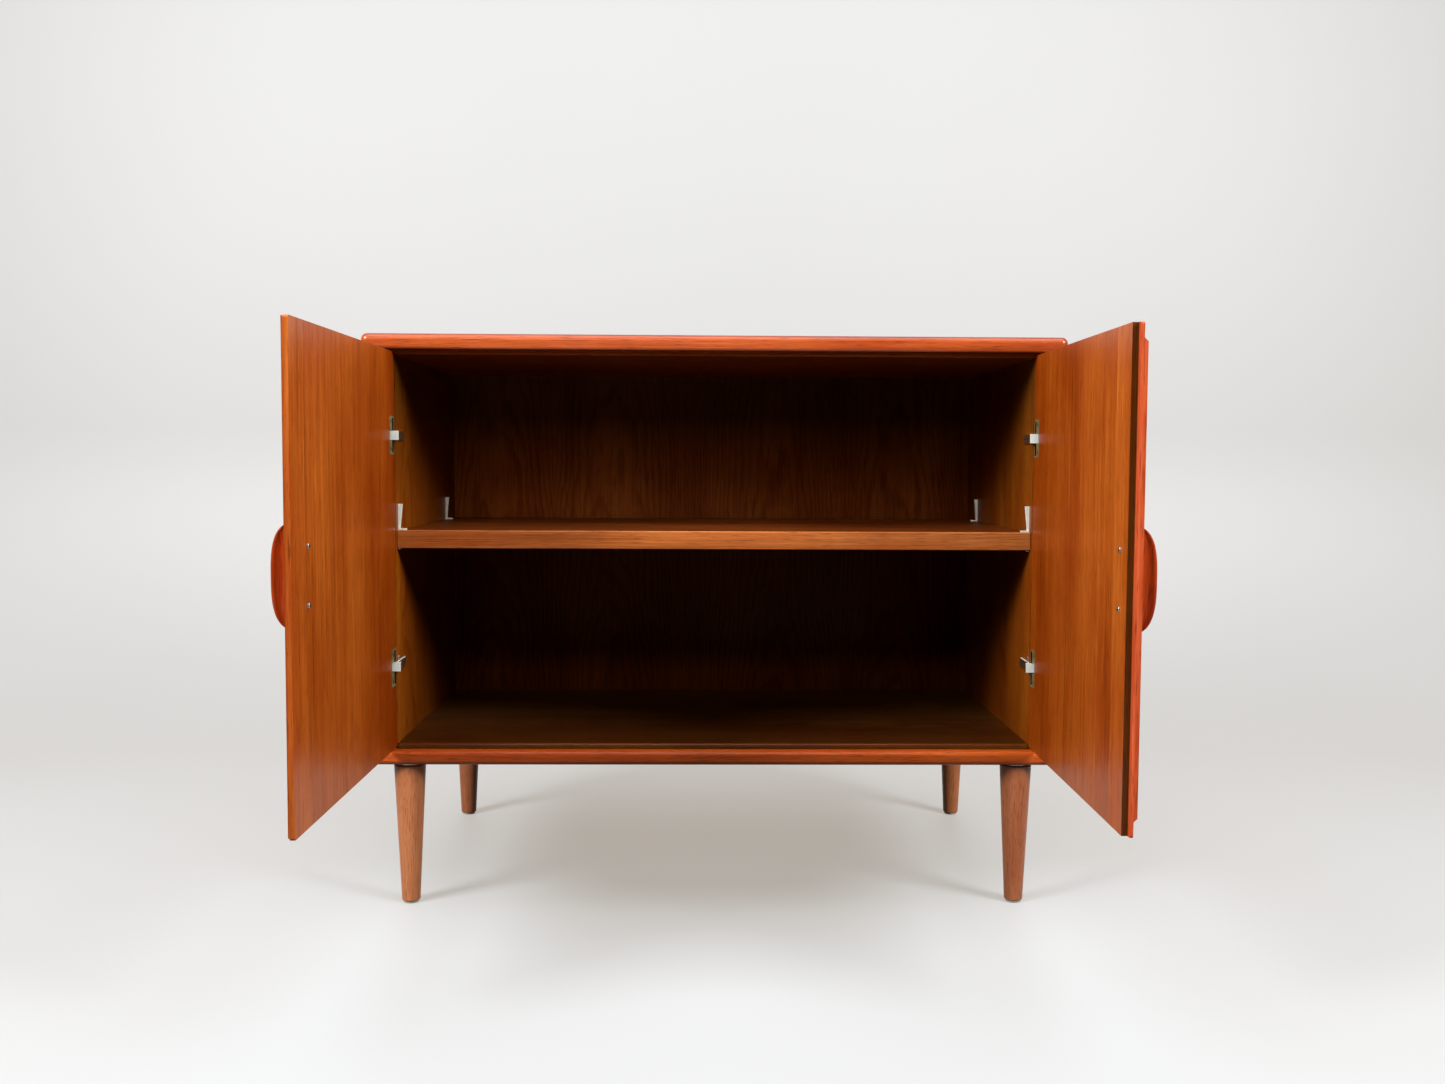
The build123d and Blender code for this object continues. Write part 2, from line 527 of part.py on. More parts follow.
def hinge_arm(side, height):
    """Arm with its base on the wall and its knuckle round the hinge axis."""
    z = (BASE_Z + height - HINGE_ARM_HALF, BASE_Z + height + HINGE_ARM_HALF)
    outer_x = WALL_X - ARM_PROUD
    with BuildPart() as arm:
        block(sorted((side * WALL_X, side * (WALL_X - ARM_BASE_THICKNESS))), ARM_BASE_Y, z)
        block(sorted((side * (WALL_X - ARM_STRAP[0]), side * (WALL_X - ARM_STRAP[1]))),
              (ARM_FRONT_Y, ARM_STRAP_BACK_Y), z)
        block(sorted((side * (WALL_X - ARM_STRAP[1]), side * outer_x)),
              (ARM_FRONT_Y, ARM_FRONT_Y + ARM_BLOCK_DEPTH), z)
        block(sorted((side * outer_x, side * PIVOT_X)),
              (ARM_FRONT_Y, ARM_FRONT_Y + ARM_NOSE_THICKNESS), z)
        rod((side * PIVOT_X, PIVOT_Y, z[0]), (0, 0, 1), KNUCKLE_RADIUS, z[1] - z[0])
        bore((side * PIVOT_X, PIVOT_Y, z[0]), (0, 0, 1), PIN_RADIUS + PIN_CLEARANCE, z[1] - z[0])
        front_corner = (arm.edges().filter_by(Axis.Z).filter_by_position(
            Axis.Y, ARM_FRONT_Y - 0.01, ARM_FRONT_Y + 0.01).sort_by(Axis.X))
        fillet(front_corner[-1] if side == LEFT else front_corner[0], 1.2)
        for screw_y in ARM_SCREW_YS:
            with Locations(Plane(origin=(side * (WALL_X - ARM_BASE_THICKNESS), screw_y,
                                         BASE_Z + height), z_dir=(-side, 0, 0))):
                CounterSinkHole(ARM_SCREW_RADIUS + SCREW_CLEARANCE, 3.0 + SCREW_CLEARANCE,
                                depth=ARM_BASE_THICKNESS, counter_sink_angle=90)
    return arm.part


for side_name, side in SIDES.items():
    for hinge_name, hinge_height in HINGE_HEIGHTS.items():
        save(hinge_arm(side, hinge_height), f"{side_name}_{hinge_name}_hinge_arm")

with BuildPart() as hinge_arm_screws:
    for side in (LEFT, RIGHT):
        for hinge_height in HINGE_HEIGHTS.values():
            for screw_y in ARM_SCREW_YS:
                flat_screw((side * (WALL_X - ARM_BASE_THICKNESS), screw_y, BASE_Z + hinge_height),
                           (side, 0, 0), ARM_SCREW_RADIUS, ARM_SCREW_LENGTH, 3.0,
                           3.0 - ARM_SCREW_RADIUS)
save(hinge_arm_screws.part, "hinge_arm_screws")

with BuildPart() as hinge_guard_screws:
    for side in (LEFT, RIGHT):
        guard_z = BASE_Z + HINGE_HEIGHTS["lower"] + GUARD_SCREW_RISE
        rod((side * (WALL_X - 2.2), GUARD_SCREW_Y, guard_z), (side, 0, 0), 3.0, 2.2)
        rod((side * WALL_X, GUARD_SCREW_Y, guard_z), (side, 0, 0), GUARD_SCREW_RADIUS,
            GUARD_SCREW_LENGTH)
save(hinge_guard_screws.part, "hinge_guard_screws")

# ---------------------------------------------------------------- doors
# Doors are drawn closed, for the left side, with the hinge axis on the Z axis: +X runs to the
# free edge and -Y points out of the front. They are mirrored for the right side and hung open.


def along(distance):
    """X of a point this far from the hinge edge."""
    return distance - PIVOT_ALONG


def deep(distance):
    """Y of a point this far out from the door's inner face."""
    return PIVOT_DEEP - distance


def hang(piece, side):
    """Mirror a door piece for its side, open it and put it on its hinge axis."""
    angle = -LEFT_OPEN_ANGLE if side == LEFT else RIGHT_OPEN_ANGLE
    turned = piece if side == LEFT else piece.mirror(Plane.YZ)
    return turned.moved(Location((side * PIVOT_X, PIVOT_Y, 0), (0, 0, angle)))


def cup_pockets(slack):
    """Cut the room for both hinge cups, their plates and their screws."""
    for height in HINGE_HEIGHTS.values():
        z = BASE_Z + height
        middle = (PLATE_ALONG[0] + PLATE_ALONG[1]) / 2
        with Locations((along((CUP_INSIDE[0] + CUP_INSIDE[1]) / 2),
                        deep((CUP_DEPTH + CUP_WALL) / 2), z)):
            Box(CUP_INSIDE[1] - CUP_INSIDE[0] + 2 * (CUP_WALL + slack),
                CUP_DEPTH + CUP_WALL + 2 * slack, 2 * (CUP_HALF + slack), mode=Mode.SUBTRACT)
        with BuildSketch(Plane(origin=(along(middle), deep(0), z), x_dir=(0, 0, 1),
                               z_dir=(0, -1, 0))) as recess:
            RectangleRounded(2 * (PLATE_HALF_LENGTH + slack),
                             PLATE_ALONG[1] - PLATE_ALONG[0] + 2 * slack, PLATE_CORNER)
        extrude(recess.sketch, amount=PLATE_THICKNESS, mode=Mode.SUBTRACT)
        with Locations((along(sum(TRENCH_ALONG) / 2), deep((TRENCH_DEPTH + CUP_WALL) / 2), z)):
            Box(TRENCH_ALONG[1] - TRENCH_ALONG[0] + 2 * (CUP_WALL + slack),
                TRENCH_DEPTH + CUP_WALL + 2 * slack, 2 * (TRENCH_HALF + CUP_WALL + slack),
                mode=Mode.SUBTRACT)
        for turn in (-1, 1):
            bore((along(CUP_SCREW_ALONG), deep(0), z + turn * CUP_SCREW_RISE), (0, -1, 0),
                 CUP_SCREW_RADIUS + SCREW_CLEARANCE, CUP_SCREW_LENGTH)


def handle_screw_holes(name):
    """Cut the two through holes of a door's handle screws."""
    for turn in (-1, 1):
        z = (DOOR_TOP + DOOR_BOTTOM) / 2 + BASE_Z + turn * HANDLE_SCREW_SPACING / 2
        bore((along(HANDLE_CENTRES[name]), deep(0), z), (0, -1, 0),
             HANDLE_SCREW_RADIUS + SCREW_CLEARANCE, DOOR_BASE + DOOR_FIELD)


DOOR_Z = (BASE_Z + DOOR_BOTTOM, BASE_Z + DOOR_TOP)
FIELD_Z = (BASE_Z + FIELD_BOTTOM, BASE_Z + FIELD_TOP)
HANDLE_SCREW_RADIUS = 2.0
HANDLE_SCREW_HEAD = 3.2
HANDLE_SCREW_IN = 12.0
HANDLE_Z = BASE_Z + (DOOR_TOP + DOOR_BOTTOM) / 2
DOOR_ARRIS = 1.0
DOOR_CORNER = 3.0


def door_panel(width, name):
    """Veneered board from the hinge edge to the door's stile."""
    with BuildPart() as panel:
        block((along(0), along(width - DOOR_STILE_WIDTH)), (deep(DOOR_BASE), deep(0)), DOOR_Z)
        hinge_edges = panel.edges().filter_by(Axis.Z).group_by(Axis.X)[0]
        fillet(hinge_edges, DOOR_ARRIS)
        cup_pockets(CUP_SLACK)
        handle_screw_holes(name)
    return panel.part


def left_stile(width):
    """Solid stile with a thin tongue along the free edge."""
    with BuildPart() as stile:
        block((along(width - DOOR_STILE_WIDTH), along(width)), (deep(DOOR_BASE), deep(0)), DOOR_Z)
        tongue_x = (along(width - TONGUE_WIDTH), along(width))
        with Locations(((tongue_x[0] + tongue_x[1]) / 2,
                        (deep(DOOR_BASE) + deep(TONGUE_THICKNESS)) / 2, sum(DOOR_Z) / 2)):
            Box(TONGUE_WIDTH, DOOR_BASE - TONGUE_THICKNESS, DOOR_Z[1] - DOOR_Z[0],
                mode=Mode.SUBTRACT)
        fillet(stile.edges().filter_by(Axis.Y).group_by(Axis.X)[-1], DOOR_CORNER)
    return stile.part


def right_stile(width):
    """Solid stile whose outer half runs on as a lip over the other door."""
    with BuildPart() as stile:
        block((along(width - DOOR_STILE_WIDTH), along(width)), (deep(DOOR_BASE), deep(0)), DOOR_Z)
        block((along(width), along(width + LIP_WIDTH)), (deep(DOOR_BASE), deep(LIP_START)), DOOR_Z)
        fillet(stile.edges().filter_by(Axis.Y).group_by(Axis.X)[-1], DOOR_CORNER)
        handle_screw_holes("right")
    return stile.part


def door_field(width, name, square_free_edge):
    """Raised field on the outside of a door, with chamfered borders."""
    with BuildPart() as field:
        block((along(FIELD_HINGE_BORDER), along(width)), (deep(DOOR_BASE + DOOR_FIELD),
                                                          deep(DOOR_BASE)), FIELD_Z)
        rim = field.faces().sort_by(Axis.Y)[0].edges()
        if square_free_edge:
            rim = rim.sort_by(Axis.X)[:-1]
        chamfer(rim, FIELD_CHAMFER)
        cup_pockets(CUP_SLACK)
        handle_screw_holes(name)
    return field.part


def hinge_cup(height):
    """Cup with its oblong plate, window, side walls and pin holes."""
    z = BASE_Z + height
    middle = (PLATE_ALONG[0] + PLATE_ALONG[1]) / 2
    outside = (CUP_INSIDE[0] - CUP_WALL, CUP_INSIDE[1] + CUP_WALL)
    cavity_x = (along(CUP_INSIDE[0]) + along(CUP_INSIDE[1])) / 2
    with BuildPart() as cup:
        with BuildSketch(Plane(origin=(along(middle), deep(0), z), x_dir=(0, 0, 1),
                               z_dir=(0, -1, 0))):
            RectangleRounded(2 * PLATE_HALF_LENGTH, PLATE_ALONG[1] - PLATE_ALONG[0],
                             PLATE_CORNER)
        extrude(amount=PLATE_THICKNESS)
        block((along(outside[0]), along(outside[1])), (deep(CUP_DEPTH + CUP_WALL), deep(0)),
              (z - CUP_HALF, z + CUP_HALF))
        block((along(TRENCH_ALONG[0] - CUP_WALL), along(TRENCH_ALONG[1] + CUP_WALL)),
              (deep(TRENCH_DEPTH + CUP_WALL), deep(0)),
              (z - TRENCH_HALF - CUP_WALL, z + TRENCH_HALF + CUP_WALL))
        with Locations((along(sum(TRENCH_ALONG) / 2), deep(TRENCH_DEPTH / 2), z)):
            Box(TRENCH_ALONG[1] - TRENCH_ALONG[0], TRENCH_DEPTH, 2 * TRENCH_HALF,
                mode=Mode.SUBTRACT)
        with Locations((cavity_x, deep(CUP_DEPTH / 2), z)):
            Box(CUP_INSIDE[1] - CUP_INSIDE[0], CUP_DEPTH, 2 * WINDOW_HALF, mode=Mode.SUBTRACT)
        bore((0, 0, z - CUP_HALF), (0, 0, 1), PIN_RADIUS, 2 * CUP_HALF)
        for turn in (-1, 1):
            with Locations(Plane(origin=(along(CUP_SCREW_ALONG), deep(0),
                                         z + turn * CUP_SCREW_RISE), z_dir=(0, 1, 0))):
                CounterSinkHole(CUP_SCREW_RADIUS + SCREW_CLEARANCE,
                                CUP_SCREW_HEAD + SCREW_CLEARANCE, depth=PLATE_THICKNESS,
                                counter_sink_angle=90)
    return cup.part


def hinge_pins():
    """The two pins of one door."""
    with BuildPart() as pins:
        for height in HINGE_HEIGHTS.values():
            rod((0, 0, BASE_Z + height - CUP_HALF), (0, 0, 1), PIN_RADIUS, 2 * CUP_HALF)
    return pins.part


def cup_screws():
    """The four plate screws of one door."""
    with BuildPart() as screws:
        for height in HINGE_HEIGHTS.values():
            for turn in (-1, 1):
                flat_screw((along(CUP_SCREW_ALONG), deep(0),
                            BASE_Z + height + turn * CUP_SCREW_RISE), (0, -1, 0),
                           CUP_SCREW_RADIUS, CUP_SCREW_LENGTH, CUP_SCREW_HEAD,
                           CUP_SCREW_HEAD - CUP_SCREW_RADIUS)
    return screws.part


# The pull is a loaf of wood: a rounded outline from the side, hollowed along both flanks.
HANDLE_END_POWER = 3.0
HANDLE_FRONT_POWER = 2.4
HANDLE_OUTLINE_STEPS = 9
SCOOP_RADIUS = 16.0
SCOOP_BITE = 4.2
SCOOP_REACH = 11.0


def handle_outline():
    """Points of the side outline, from the lower to the upper end, by a superellipse."""
    points = []
    for step in range(HANDLE_OUTLINE_STEPS + 1):
        share = -1 + 2 * step / HANDLE_OUTLINE_STEPS
        rise = HANDLE_HALF_HEIGHT * (1 - (1 - abs(share)) ** 2) * (1 if share > 0 else -1)
        fall = abs(rise / HANDLE_HALF_HEIGHT) ** HANDLE_END_POWER
        reach = HANDLE_REACH * (1 - fall) ** (1 / HANDLE_FRONT_POWER)
        points.append((rise, reach))
    return points


def door_handle(name):
    """Carved pull on the raised field, centred on its two screws."""
    centre = along(HANDLE_CENTRES[name])
    surface = deep(DOOR_BASE + DOOR_FIELD)
    with BuildPart() as handle:
        with BuildSketch(Plane(origin=(centre - HANDLE_WIDTH / 2, surface, HANDLE_Z),
                               x_dir=(0, 0, 1), z_dir=(1, 0, 0))):
            with BuildLine():
                outline = Spline(*handle_outline())
                Line(outline @ 1, outline @ 0)
            make_face()
        extrude(amount=HANDLE_WIDTH)
        for turn in (-1, 1):
            scoop_x = centre + turn * (HANDLE_WIDTH / 2 + SCOOP_RADIUS - SCOOP_BITE)
            with Locations((scoop_x, surface - SCOOP_REACH, HANDLE_Z)):
                Cylinder(SCOOP_RADIUS, 2 * HANDLE_HALF_HEIGHT + 2, mode=Mode.SUBTRACT)
        for turn in (-1, 1):
            bore((centre, surface, HANDLE_Z + turn * HANDLE_SCREW_SPACING / 2), (0, -1, 0),
                 HANDLE_SCREW_RADIUS + SCREW_CLEARANCE, HANDLE_SCREW_IN)
    return handle.part


def handle_screws(name):
    """Two round-headed screws from the door's inner face into the pull."""
    with BuildPart() as screws:
        for turn in (-1, 1):
            z = HANDLE_Z + turn * HANDLE_SCREW_SPACING / 2
            rod((along(HANDLE_CENTRES[name]), deep(0), z), (0, -1, 0), HANDLE_SCREW_RADIUS,
                DOOR_BASE + DOOR_FIELD + HANDLE_SCREW_IN - 1)
            rod((along(HANDLE_CENTRES[name]), deep(0), z), (0, 1, 0), HANDLE_SCREW_HEAD, 1.6)
        fillet(screws.faces().group_by(Axis.Y)[-1].edges(), 1.2)
    return screws.part


save(hang(door_panel(LEFT_DOOR_WIDTH, "left"), LEFT), "left_door_panel")
save(hang(door_panel(RIGHT_DOOR_WIDTH, "right"), RIGHT), "right_door_panel")
save(hang(left_stile(LEFT_DOOR_WIDTH), LEFT), "left_door_stile")
save(hang(right_stile(RIGHT_DOOR_WIDTH), RIGHT), "right_door_stile")
save(hang(door_field(FIELD_HINGE_BORDER + LEFT_FIELD_WIDTH, "left", False), LEFT),
     "left_door_field")
save(hang(door_field(RIGHT_DOOR_WIDTH + LIP_WIDTH, "right", True), RIGHT), "right_door_field")
for side_name, side in SIDES.items():
    for hinge_name, hinge_height in HINGE_HEIGHTS.items():
        save(hang(hinge_cup(hinge_height), side), f"{side_name}_{hinge_name}_hinge_cup")
    save(hang(hinge_pins(), side), f"{side_name}_hinge_pins")
    save(hang(cup_screws(), side), f"{side_name}_hinge_cup_screws")
    save(hang(door_handle(side_name), side), f"{side_name}_door_handle")
    save(hang(handle_screws(side_name), side), f"{side_name}_handle_screws")

print("hinge axes at x", PIVOT_X, "y", PIVOT_Y, "front", FRONT_Y, "back", BACK_Y)
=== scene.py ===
"""Look of a teak cabinet stand with two open doors: materials, pulls, screws, light and camera."""
import bpy
import bmesh
import json
import math
from mathutils import Matrix, Vector


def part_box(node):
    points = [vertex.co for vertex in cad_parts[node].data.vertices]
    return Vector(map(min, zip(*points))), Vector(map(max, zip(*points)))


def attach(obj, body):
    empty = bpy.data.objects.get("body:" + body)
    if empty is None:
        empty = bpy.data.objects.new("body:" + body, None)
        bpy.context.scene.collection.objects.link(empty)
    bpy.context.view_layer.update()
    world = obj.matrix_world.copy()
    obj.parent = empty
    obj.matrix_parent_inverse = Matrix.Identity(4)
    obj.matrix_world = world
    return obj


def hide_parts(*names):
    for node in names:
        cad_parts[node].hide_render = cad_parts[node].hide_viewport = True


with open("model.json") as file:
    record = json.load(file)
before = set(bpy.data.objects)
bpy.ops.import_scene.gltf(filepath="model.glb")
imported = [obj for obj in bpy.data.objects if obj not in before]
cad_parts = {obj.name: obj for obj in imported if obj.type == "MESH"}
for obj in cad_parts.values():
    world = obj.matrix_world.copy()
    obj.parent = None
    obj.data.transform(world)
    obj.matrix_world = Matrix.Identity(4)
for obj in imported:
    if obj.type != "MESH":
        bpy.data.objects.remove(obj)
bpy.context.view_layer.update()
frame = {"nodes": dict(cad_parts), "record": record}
nodes = frame["nodes"]
record = frame["record"]
scene = bpy.context.scene
scene.view_settings.view_transform = "Standard"
scene.view_settings.look = "None"
scene.view_settings.use_curve_mapping = True
scene.view_settings.curve_mapping.black_level = (0.0004, 0.0004, 0.0006)
scene.view_settings.curve_mapping.update()


def tone(red, green, blue):
    """A linear colour from 8-bit sRGB values."""
    channels = [value / 255 for value in (red, green, blue)]
    linear = [c / 12.92 if c <= 0.04045 else ((c + 0.055) / 1.055) ** 2.4 for c in channels]
    return (*linear, 1.0)


# ---------------------------------------------------------------- node helpers
class Tree:
    """A short way to add nodes and link them."""

    def __init__(self, name):
        self.material = bpy.data.materials.new(name)
        self.material.use_nodes = True
        self.tree = self.material.node_tree
        self.shader = self.tree.nodes["Principled BSDF"]

    def add(self, kind, **values):
        node = self.tree.nodes.new(kind)
        for key, value in values.items():
            setattr(node, key, value)
        return node

    def feed(self, socket, value):
        if isinstance(value, bpy.types.NodeSocket):
            self.tree.links.new(value, socket)
        else:
            socket.default_value = value

    def math(self, operation, first, second=0.0):
        node = self.add("ShaderNodeMath", operation=operation)
        self.feed(node.inputs[0], first)
        self.feed(node.inputs[1], second)
        return node.outputs[0]

    def vector(self, operation, first, second):
        node = self.add("ShaderNodeVectorMath", operation=operation)
        self.feed(node.inputs[0], first)
        self.feed(node.inputs[1], second)
        return node.outputs[0]

    def noise(self, place, scale, detail=2.0, rough=0.5, distort=0.0):
        node = self.add("ShaderNodeTexNoise")
        self.feed(node.inputs["Vector"], self.vector("MULTIPLY", place, scale))
        node.inputs["Scale"].default_value = 1.0
        node.inputs["Detail"].default_value = detail
        node.inputs["Roughness"].default_value = rough
        node.inputs["Distortion"].default_value = distort
        return node.outputs["Fac"]

    def ramp(self, value, stops):
        node = self.add("ShaderNodeValToRGB")
        elements = node.color_ramp.elements
        while len(elements) < len(stops):
            elements.new(0.5)
        for element, (position, colour) in zip(elements, stops):
            element.position = position
            element.color = colour
        self.feed(node.inputs[0], value)
        return node.outputs[0]

    def spread(self, value, low, high, new_low, new_high):
        """Map a value from one range to another, clamped."""
        node = self.add("ShaderNodeMapRange")
        self.feed(node.inputs["Value"], value)
        for socket, number in zip(node.inputs[1:5], (low, high, new_low, new_high)):
            socket.default_value = number
        return node.outputs[0]

    def blend(self, kind, share, first, second):
        node = self.add("ShaderNodeMix", data_type="RGBA", blend_type=kind)
        self.feed(node.inputs[0], share)
        self.feed(node.inputs[6], first)
        self.feed(node.inputs[7], second)
        return node.outputs[2]

    def bump(self, height, strength, distance):
        node = self.add("ShaderNodeBump")
        self.feed(node.inputs["Height"], height)
        node.inputs["Strength"].default_value = strength
        node.inputs["Distance"].default_value = distance
        self.feed(self.shader.inputs["Normal"], node.outputs[0])


def grain_place(tree, axis, seed):
    """Object coordinates with the grain turned to the third axis, shifted by a seed."""
    split = tree.add("ShaderNodeSeparateXYZ")
    tree.feed(split.inputs[0], tree.add("ShaderNodeTexCoord").outputs["Object"])
    order = {"x": (1, 2, 0), "y": (0, 2, 1), "z": (0, 1, 2)}[axis]
    join = tree.add("ShaderNodeCombineXYZ")
    for target, source in enumerate(order):
        tree.feed(join.inputs[target], split.outputs[source])
    return tree.vector("ADD", join.outputs[0], (seed * 1.37, seed * 0.83, seed * 2.11))


def wood(name, axis, tones, seed, cathedral=None, gloss=0.34, contrast=1.0, pore_depth=1.0,
         shine=0.20):
    """Oiled wood with its grain along an axis of the object.

    tones are its dark, middle and light colours. cathedral gives the width of a leaf of crown-cut
    veneer and the axis that its arches repeat across: None makes straight grain.
    """
    tree = Tree(name)
    dark, middle, light = tones
    place = grain_place(tree, axis, seed)
    sway = tree.noise(place, (3.0, 3.0, 2.2), 2.0)
    shift = tree.add("ShaderNodeCombineXYZ")
    swayed = tree.math("MULTIPLY", tree.math("SUBTRACT", sway, 0.5), 0.016)
    tree.feed(shift.inputs[0], swayed)
    tree.feed(shift.inputs[1], swayed)
    place = tree.vector("ADD", place, shift.outputs[0])
    broad = tree.noise(place, (13.0, 13.0, 1.4), 3.0, 0.5)
    streak = tree.noise(place, (120.0, 120.0, 1.6), 4.0, 0.66, 0.2)
    line = tree.noise(place, (420.0, 420.0, 4.0), 3.0, 0.65)
    fibre = tree.noise(place, (1300.0, 1300.0, 22.0), 2.0, 0.6)
    value = tree.math("MULTIPLY", broad, 0.28)
    value = tree.math("ADD", value, tree.math("MULTIPLY", streak, 0.34))
    value = tree.math("ADD", value, tree.math("MULTIPLY", line, 0.38))
    if cathedral:
        leaf, across = cathedral
        split = tree.add("ShaderNodeSeparateXYZ")
        tree.feed(split.inputs[0], place)
        side = tree.math("SUBTRACT", tree.math("PINGPONG", split.outputs[across], leaf),
                         leaf * 0.42)
        arch = tree.math("MULTIPLY", tree.math("MULTIPLY", side, side), 780.0)
        rise = tree.math("MULTIPLY", split.outputs[2], 9.0)
        wander = tree.math("MULTIPLY", tree.noise(place, (9.0, 9.0, 2.6), 3.0, 0.5), 7.5)
        rings = tree.math("ADD", tree.math("ADD", arch, rise), wander)
        tooth = tree.math("FRACT", rings)
        ring = tree.ramp(tooth, [(0.0, (0.34, 0.34, 0.34, 1)), (0.14, (0.60, 0.60, 0.60, 1)),
                                 (0.55, (0.58, 0.58, 0.58, 1)), (0.88, (0.32, 0.32, 0.32, 1)),
                                 (1.0, (0.34, 0.34, 0.34, 1))])
        value = tree.math("ADD", tree.math("MULTIPLY", value, 0.66),
                          tree.math("MULTIPLY", ring, 0.34))
    value = tree.spread(value, 0.5 - 0.17 / contrast, 0.5 + 0.17 / contrast, 0.0, 1.0)
    colour = tree.ramp(value, [(0.0, dark), (0.48, middle), (1.0, light)])
    pores = tree.spread(tree.noise(place, (950.0, 950.0, 38.0), 1.0), 0.30, 0.42, 1.0, 0.0)
    colour = tree.blend("MULTIPLY", tree.math("MULTIPLY", pores, 0.55), colour, tone(120, 84, 60))
    fleck = tree.spread(fibre, 0.3, 0.7, 0.0, 0.35)
    colour = tree.blend("OVERLAY", 0.22, colour, tree.ramp(fleck, [(0.0, (0.34, 0.34, 0.34, 1)),
                                                                   (0.35, (0.66, 0.66, 0.66, 1))]))
    patch = tree.spread(tree.noise(place, (9.0, 9.0, 4.0), 4.0, 0.55), 0.36, 0.66, 0.0, 0.62)
    colour = tree.blend("MULTIPLY", patch, colour, tone(200, 150, 112))
    tree.feed(tree.shader.inputs["Base Color"], colour)
    worn = tree.noise(place, (7.0, 7.0, 3.0), 3.0)
    rough = tree.math("ADD", tree.spread(fibre, 0.3, 0.7, gloss - 0.05, gloss + 0.07),
                      tree.spread(worn, 0.35, 0.65, -0.04, 0.05))
    tree.feed(tree.shader.inputs["Roughness"], rough)
    tree.shader.inputs["Specular IOR Level"].default_value = shine
    height = tree.math("SUBTRACT", tree.math("MULTIPLY", fibre, 0.6),
                       tree.math("MULTIPLY", pores, pore_depth))
    tree.bump(height, 0.32, 0.00022)
    return tree.material


BRUSH_SCALE = (60.0, 60.0, 900.0)


def metal(name, colour, second, rough, metallic=1.0):
    """Plated or lacquered metal with brush marks and a little tarnish."""
    tree = Tree(name)
    place = tree.add("ShaderNodeTexCoord").outputs["Object"]
    marks = tree.noise(place, BRUSH_SCALE, 3.0, 0.6)
    tarnish = tree.noise(place, (90.0, 90.0, 90.0), 4.0, 0.6)
    tree.feed(tree.shader.inputs["Base Color"],
              tree.ramp(tarnish, [(0.35, colour), (0.68, second)]))
    tree.shader.inputs["Metallic"].default_value = metallic
    tree.feed(tree.shader.inputs["Roughness"],
              tree.spread(marks, 0.3, 0.7, rough - 0.07, rough + 0.10))
    tree.bump(marks, 0.15, 0.00008)
    return tree.material


def shade(material, socket, axis, low, high, colour, size=False):
    """Multiply the colour where a texture coordinate runs from low to high along one axis."""
    tree = material.node_tree
    split = tree.nodes.new("ShaderNodeSeparateXYZ")
    share = tree.nodes.new("ShaderNodeMapRange")
    share.inputs["From Min"].default_value = low
    share.inputs["From Max"].default_value = high
    mix = tree.nodes.new("ShaderNodeMix")
    mix.data_type = "RGBA"
    mix.blend_type = "MULTIPLY"
    mix.inputs[7].default_value = colour
    shader = tree.nodes["Principled BSDF"]
    before = shader.inputs["Base Color"].links[0].from_socket
    place = split.outputs[axis]
    if size:
        absolute = tree.nodes.new("ShaderNodeMath")
        absolute.operation = "ABSOLUTE"
        tree.links.new(place, absolute.inputs[0])
        place = absolute.outputs[0]
    tree.links.new(tree.nodes.new("ShaderNodeTexCoord").outputs[socket], split.inputs[0])
    tree.links.new(place, share.inputs["Value"])
    tree.links.new(share.outputs[0], mix.inputs[0])
    tree.links.new(before, mix.inputs[6])
    tree.links.new(mix.outputs[2], shader.inputs["Base Color"])


def moulded(name, colour, second, rough):
    """Moulded plastic with a faint mottled skin."""
    tree = Tree(name)
    place = tree.add("ShaderNodeTexCoord").outputs["Object"]
    mottle = tree.noise(place, (160.0, 160.0, 160.0), 4.0, 0.6)
    tree.feed(tree.shader.inputs["Base Color"],
              tree.ramp(mottle, [(0.35, colour), (0.7, second)]))
    tree.feed(tree.shader.inputs["Roughness"], tree.spread(mottle, 0.3, 0.7, rough, rough + 0.1))
    tree.shader.inputs["Subsurface Weight"].default_value = 0.08
    tree.shader.inputs["Subsurface Radius"].default_value = (0.004, 0.004, 0.003)
    tree.bump(tree.noise(place, (1200.0, 1200.0, 1200.0), 2.0), 0.12, 0.0001)
    return tree.material


def material_of(node):
    """The material that a CAD node was given first."""
    return nodes[node].material_slots[0].material


def paint(node, material):
    """Give a CAD node a material in every slot that it has."""
    piece = nodes[node]
    if not piece.material_slots:
        piece.data.materials.append(material)
    for place in piece.material_slots:
        place.material = material


# ---------------------------------------------------------------- wood and metal of each node
# Dark, middle and light tone of each kind of wood. INSIDE, UNLIT, LINING and FLOOR_NOSE are darker
# than the veneer itself, and LEG_SHADY than the legs, because they stand in for shade that these
# lamps don't give. NOSE is lighter than the veneer and stands in for light.
VENEER = (tone(124, 52, 10), tone(182, 90, 26), tone(212, 120, 48))
INSIDE = (tone(70, 28, 8), tone(112, 54, 18), tone(138, 74, 30))
UNLIT = (tone(40, 17, 4), tone(68, 33, 9), tone(86, 46, 17))
LINING = (tone(96, 46, 5), tone(150, 76, 12), tone(176, 100, 28))
FLOOR_NOSE = (tone(60, 30, 2), tone(98, 51, 6), tone(124, 68, 14))
NOSE = (tone(170, 88, 20), tone(222, 128, 40), tone(244, 162, 76))
RAIL = (tone(142, 50, 12), tone(188, 80, 24), tone(212, 106, 42))
LEG_SHADY = (tone(112, 62, 34), tone(168, 100, 62), tone(196, 126, 86))
EDGING = (tone(128, 49, 16), tone(173, 77, 31), tone(197, 104, 52))
SHELF = (tone(112, 52, 16), tone(180, 98, 44), tone(212, 132, 72))
PULL = (tone(104, 34, 5), tone(160, 56, 11), tone(190, 80, 23))
LEG = (tone(126, 70, 38), tone(186, 114, 70), tone(216, 144, 98))

